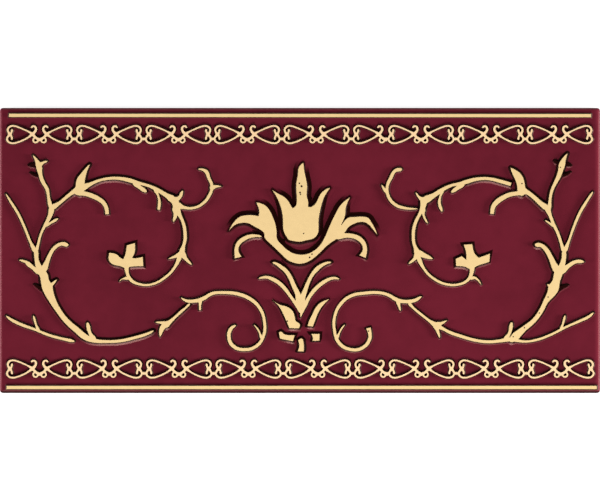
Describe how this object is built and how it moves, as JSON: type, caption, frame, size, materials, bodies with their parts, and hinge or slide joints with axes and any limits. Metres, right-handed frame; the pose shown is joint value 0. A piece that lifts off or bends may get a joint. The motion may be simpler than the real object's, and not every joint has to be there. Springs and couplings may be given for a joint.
{
  "type": "border tile",
  "caption": "Long glazed ceramic border tile with a gilded raised ornament of scrolls, leaves and a central tulip between chains of curls and straight fillets.",
  "frame": {"origin": "centre of the back's bedding plane", "axes": "+X along the tile's length, +Y across its width towards the tulip's tip, +Z out through the glazed face"},
  "size_m": [0.2, 0.095, 0.009],
  "materials": {
    "glaze": "glossy maroon glaze with gilded relief, unglazed back"
  },
  "bodies": {
    "root": {"tile": "glaze"}
  },
  "joints": []
}
